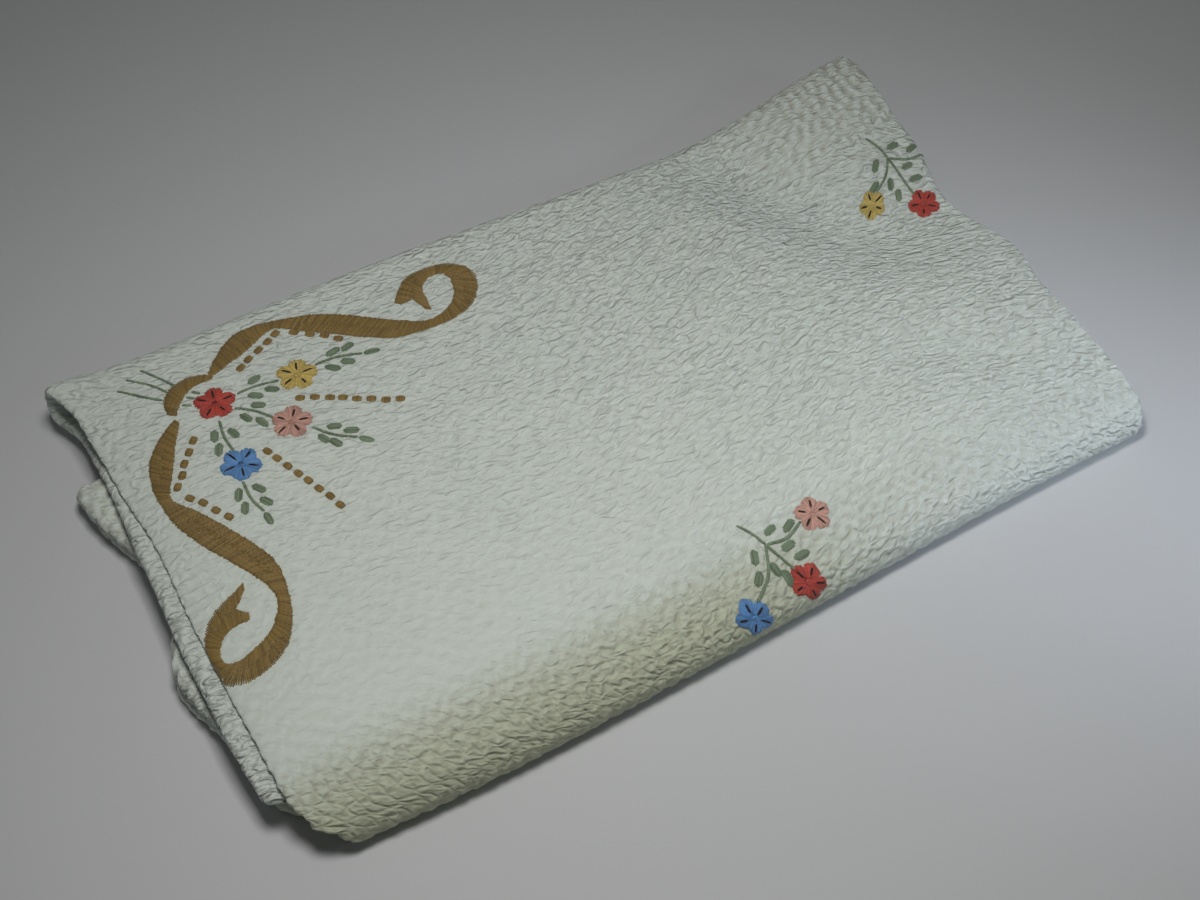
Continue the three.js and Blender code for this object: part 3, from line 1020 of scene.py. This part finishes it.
def thread_material(name, colour):
    """Stranded cotton: plies twisted round each stitch, stitches that vary a little in tone, and painted
    shade on their undersides.
    """
    n = Nodes("cotton_thread_" + name)
    twist = n.add("UVMap", uv_map="twist").outputs["UV"]
    parts = n.add("SeparateXYZ", {0: twist})
    turns = n.math("MULTIPLY", parts.outputs["X"], PLY_TURNS)
    turns = n.math("ADD", turns, n.math("MULTIPLY", parts.outputs["Y"], PLIES))
    ply = n.math("SINE", n.math("MULTIPLY", turns, 2 * math.pi))
    bump = n.add("Bump", {"Height": ply, "Strength": 0.5, "Distance": 0.00015})
    # Each strand's own tone and the painted shade on its underside pick between its deep and light colours
    tone_and_painted_shade = n.add("Attribute", attribute_name="tone_and_painted_shade").outputs["Fac"]
    deep, light = ([*(c * tone for c in linear(colour)[:3]), 1.0] for tone in STRAND_TONES)
    n.set(
        Base_Color=n.mix(tone_and_painted_shade, deep, light),
        Normal=bump.outputs[0],
        Roughness=0.55,
        Sheen_Weight=0.3,
        Sheen_Roughness=0.4,
        Specular_IOR_Level=0.35,
    )
    return n.material


places, faces, flat, hollow = cloth_mesh()
cloth = new_piece("bedspread_cloth", places, faces)
set_map(cloth.data, "cloth", flat / 1000)
set_map(cloth.data, "crinkles", crinkle_map(flat) / 1000)
set_values(cloth.data, "hollow", hollow)
cloth.data.materials.append(pique_material())
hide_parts("bedspread")

for name, colour in THREADS.items():
    places, faces, twist, tone_and_painted_shade = thread_mesh(stitches[name])
    piece = new_piece("embroidery_" + name, places, faces)
    set_map(piece.data, "twist", twist)
    set_values(piece.data, "tone_and_painted_shade", tone_and_painted_shade)
    piece.data.materials.append(thread_material(name, colour))

# Floor, light and camera
FLOOR_SIZE = 12
FLOOR_DROP = 0.0005
bpy.ops.mesh.primitive_plane_add(size=FLOOR_SIZE, location=(0, 0, -FLOOR_DROP))
floor = bpy.context.object
floor.name = "floor"
ground = Nodes("floor_paint")
grain = ground.add("TexNoise", {"Scale": 3.0, "Detail": 3.0}).outputs["Fac"]
ground.set(Base_Color=ground.mix(grain, linear("#c9cbcc"), linear("#d0d1d1")), Roughness=0.9)
floor.data.materials.append(ground.material)

Lamp = namedtuple("Lamp", "name place aim size spread power colour")
LAMPS = [
    Lamp("key", (-0.22, -0.22, 1.25), (0.05, -0.19, 0.03), 0.3, 150, 5.75, (1.0, 0.99, 0.97)),
    Lamp("side", (0.85, -0.8, 0.55), (0.4, -0.3, 0.02), 0.4, 45, 0.38, (0.74, 0.83, 1.0)),
    Lamp("fill", (-0.8, 0.9, 1.6), (0, 0, 0), 1.2, 180, 0.22, (0.97, 0.98, 1.0)),
]
for lamp in LAMPS:
    light = bpy.data.lights.new(lamp.name, "AREA")
    light.size = lamp.size
    light.spread = math.radians(lamp.spread)
    light.energy = lamp.power
    light.color = lamp.colour
    holder = bpy.data.objects.new(lamp.name, light)
    holder.location = lamp.place
    holder.rotation_euler = (Vector(lamp.place) - Vector(lamp.aim)).to_track_quat("Z", "Y").to_euler()
    bpy.context.scene.collection.objects.link(holder)

world = bpy.data.worlds.new("studio")
world.use_nodes = True
world.node_tree.nodes["Background"].inputs["Color"].default_value = (0.95, 0.97, 1.0, 1.0)
world.node_tree.nodes["Background"].inputs["Strength"].default_value = 0.06
bpy.context.scene.world = world
bpy.context.scene.view_settings.view_transform = "Standard"

AZIMUTH, ELEVATION = math.radians(-31), math.radians(53)
DISTANCE = 1.4348
LENS = 49.5
SENSOR = 36
back = Vector(
    (math.sin(AZIMUTH) * math.cos(ELEVATION), -math.cos(AZIMUTH) * math.cos(ELEVATION), math.sin(ELEVATION))
)
camera = bpy.data.objects.new("camera", bpy.data.cameras.new("camera"))
camera.data.lens = LENS
camera.data.sensor_width = SENSOR
camera.location = Vector(in_part(np.array([0, 0, SHIFT[2]])).tolist()) + back * DISTANCE
camera.rotation_euler = back.to_track_quat("Z", "Y").to_euler()
bpy.context.scene.collection.objects.link(camera)
bpy.context.scene.camera = camera
